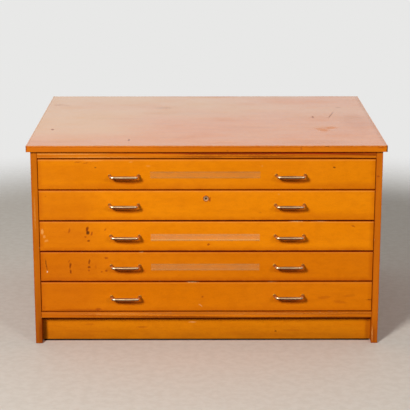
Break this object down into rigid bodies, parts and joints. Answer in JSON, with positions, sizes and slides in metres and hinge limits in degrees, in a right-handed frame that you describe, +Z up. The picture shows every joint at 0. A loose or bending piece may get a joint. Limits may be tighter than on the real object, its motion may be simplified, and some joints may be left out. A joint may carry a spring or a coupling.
{
  "type": "flat file cabinet",
  "caption": "Low wooden plan chest with wide shallow drawers on runner frames, metal bow handles, label holders, a cam lock and a recessed plinth.",
  "frame": {"origin": "bottom centre of the cabinet's box, handles included, on the floor", "axes": "+Z up, +X to the right of someone facing the drawers, -Y the way the drawers open"},
  "size_m": [1.068, 0.856, 0.6198],
  "materials": {
    "front_wood": "clear orange varnish, satin gloss, worn",
    "side_wood": "clear orange varnish, satin gloss, worn",
    "rail_wood": "clear orange varnish over streaky grain",
    "plinth_wood": "clear orange varnish, dull",
    "lipping_wood": "clear orange varnish",
    "inner_wood": "bare planed softwood",
    "box_wood": "bare planed beech",
    "plywood": "bare plywood",
    "laminate": "clear orange varnish, satin gloss, with long faint streaks",
    "handle_metal": "aged nickel plate, tarnished warm",
    "lock_metal": "aged nickel plate",
    "lock_brass": "worn brass",
    "label_plastic": "clear plastic gone milky"
  },
  "bodies": {
    "carcass": {"side_panel_left": "side_wood", "side_panel_right": "side_wood", "top_frame": "rail_wood", "bottom_rail": "rail_wood", "bottom_board": "inner_wood", "plinth_board": "plinth_wood", "rear_plinth_board": "inner_wood", "back_panel": "plywood", "runner_frame_1": "inner_wood", "runner_frame_2": "inner_wood", "runner_frame_3": "inner_wood", "runner_frame_4": "inner_wood", "top_board": "inner_wood", "top_laminate": "laminate", "top_lipping_front": "lipping_wood", "top_lipping_back": "lipping_wood", "top_lipping_left": "lipping_wood", "top_lipping_right": "lipping_wood"},
    "drawer_1": {"drawer_1_front": "front_wood", "drawer_1_side_left": "box_wood", "drawer_1_side_right": "box_wood", "drawer_1_back": "box_wood", "drawer_1_bottom": "plywood", "drawer_1_handle_left": "handle_metal", "drawer_1_handle_right": "handle_metal", "drawer_1_label_holder": "label_plastic"},
    "drawer_2": {"drawer_2_front": "front_wood", "drawer_2_side_left": "box_wood", "drawer_2_side_right": "box_wood", "drawer_2_back": "box_wood", "drawer_2_bottom": "plywood", "drawer_2_handle_left": "handle_metal", "drawer_2_handle_right": "handle_metal", "lock_housing": "lock_metal", "lock_nut": "lock_metal"},
    "drawer_3": {"drawer_3_front": "front_wood", "drawer_3_side_left": "box_wood", "drawer_3_side_right": "box_wood", "drawer_3_back": "box_wood", "drawer_3_bottom": "plywood", "drawer_3_handle_left": "handle_metal", "drawer_3_handle_right": "handle_metal", "drawer_3_label_holder": "label_plastic"},
    "drawer_4": {"drawer_4_front": "front_wood", "drawer_4_side_left": "box_wood", "drawer_4_side_right": "box_wood", "drawer_4_back": "box_wood", "drawer_4_bottom": "plywood", "drawer_4_handle_left": "handle_metal", "drawer_4_handle_right": "handle_metal", "drawer_4_label_holder": "label_plastic"},
    "drawer_5": {"drawer_5_front": "front_wood", "drawer_5_side_left": "box_wood", "drawer_5_side_right": "box_wood", "drawer_5_back": "box_wood", "drawer_5_bottom": "plywood", "drawer_5_handle_left": "handle_metal", "drawer_5_handle_right": "handle_metal"},
    "lock_plug": {"lock_plug": "lock_brass", "lock_cam": "lock_metal"}
  },
  "joints": [
    {"name": "drawer_1_slide", "type": "slide", "parent": "carcass", "child": "drawer_1", "axis": [0, -1, 0], "range_m": [0, 0.55]},
    {"name": "drawer_2_slide", "type": "slide", "parent": "carcass", "child": "drawer_2", "axis": [0, -1, 0], "range_m": [0, 0.55]},
    {"name": "drawer_3_slide", "type": "slide", "parent": "carcass", "child": "drawer_3", "axis": [0, -1, 0], "range_m": [0, 0.55]},
    {"name": "drawer_4_slide", "type": "slide", "parent": "carcass", "child": "drawer_4", "axis": [0, -1, 0], "range_m": [0, 0.55]},
    {"name": "drawer_5_slide", "type": "slide", "parent": "carcass", "child": "drawer_5", "axis": [0, -1, 0], "range_m": [0, 0.55]},
    {"name": "lock_turn", "type": "hinge", "parent": "drawer_2", "child": "lock_plug", "pos_m": [-0.0025, -0.3644, 0.4573], "axis": [0, -1, 0], "range_deg": [0, 90]}
  ]
}
